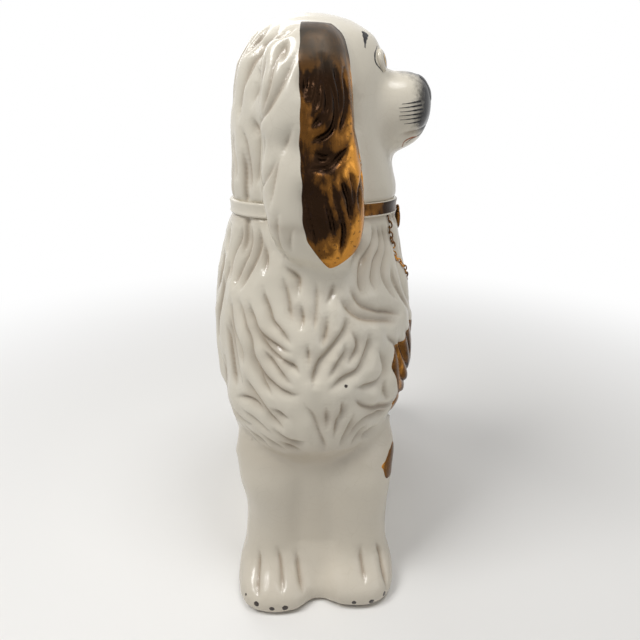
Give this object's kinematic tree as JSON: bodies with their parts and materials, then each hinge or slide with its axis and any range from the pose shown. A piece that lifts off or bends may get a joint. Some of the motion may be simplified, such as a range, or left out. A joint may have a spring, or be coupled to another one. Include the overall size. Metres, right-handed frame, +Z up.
{
  "type": "staffordshire dog figure",
  "caption": "Tall hollow pottery spaniel sitting upright with its face turned to the front, long wavy ears, a lustre collar and a chain with a padlock.",
  "frame": {"origin": "middle of the foot on the surface that the figure stands on", "axes": "+Z up, the chest and forelegs towards -X, the turned face and the decorated front towards -Y, the plain back towards +Y"},
  "size_m": [0.2308, 0.1267, 0.334],
  "materials": {
    "white_glaze": "glossy cream-white glaze with fine crackle",
    "bare_clay": "unglazed pale clay",
    "copper_lustre": "copper lustre over glaze, worn and mottled",
    "black_enamel": "sponged black enamel",
    "eye_enamel": "painted eye under glaze"
  },
  "bodies": {
    "root": {"front_shell": "white_glaze", "back_shell": "white_glaze", "seam_roll": "bare_clay", "base_slab": "bare_clay", "front_foreleg": "white_glaze", "back_foreleg": "white_glaze", "front_hind_paw": "white_glaze", "back_hind_paw": "white_glaze", "tail": "white_glaze", "right_ear": "copper_lustre", "left_ear": "copper_lustre", "collar_front": "copper_lustre", "collar_back": "white_glaze", "padlock": "copper_lustre", "chain": "copper_lustre", "nose_enamel": "black_enamel", "right_eye": "eye_enamel", "left_eye": "eye_enamel", "chest_lustre": "copper_lustre", "shoulder_lustre": "copper_lustre", "haunch_lustre": "copper_lustre", "foreleg_lustre": "copper_lustre"}
  },
  "joints": []
}
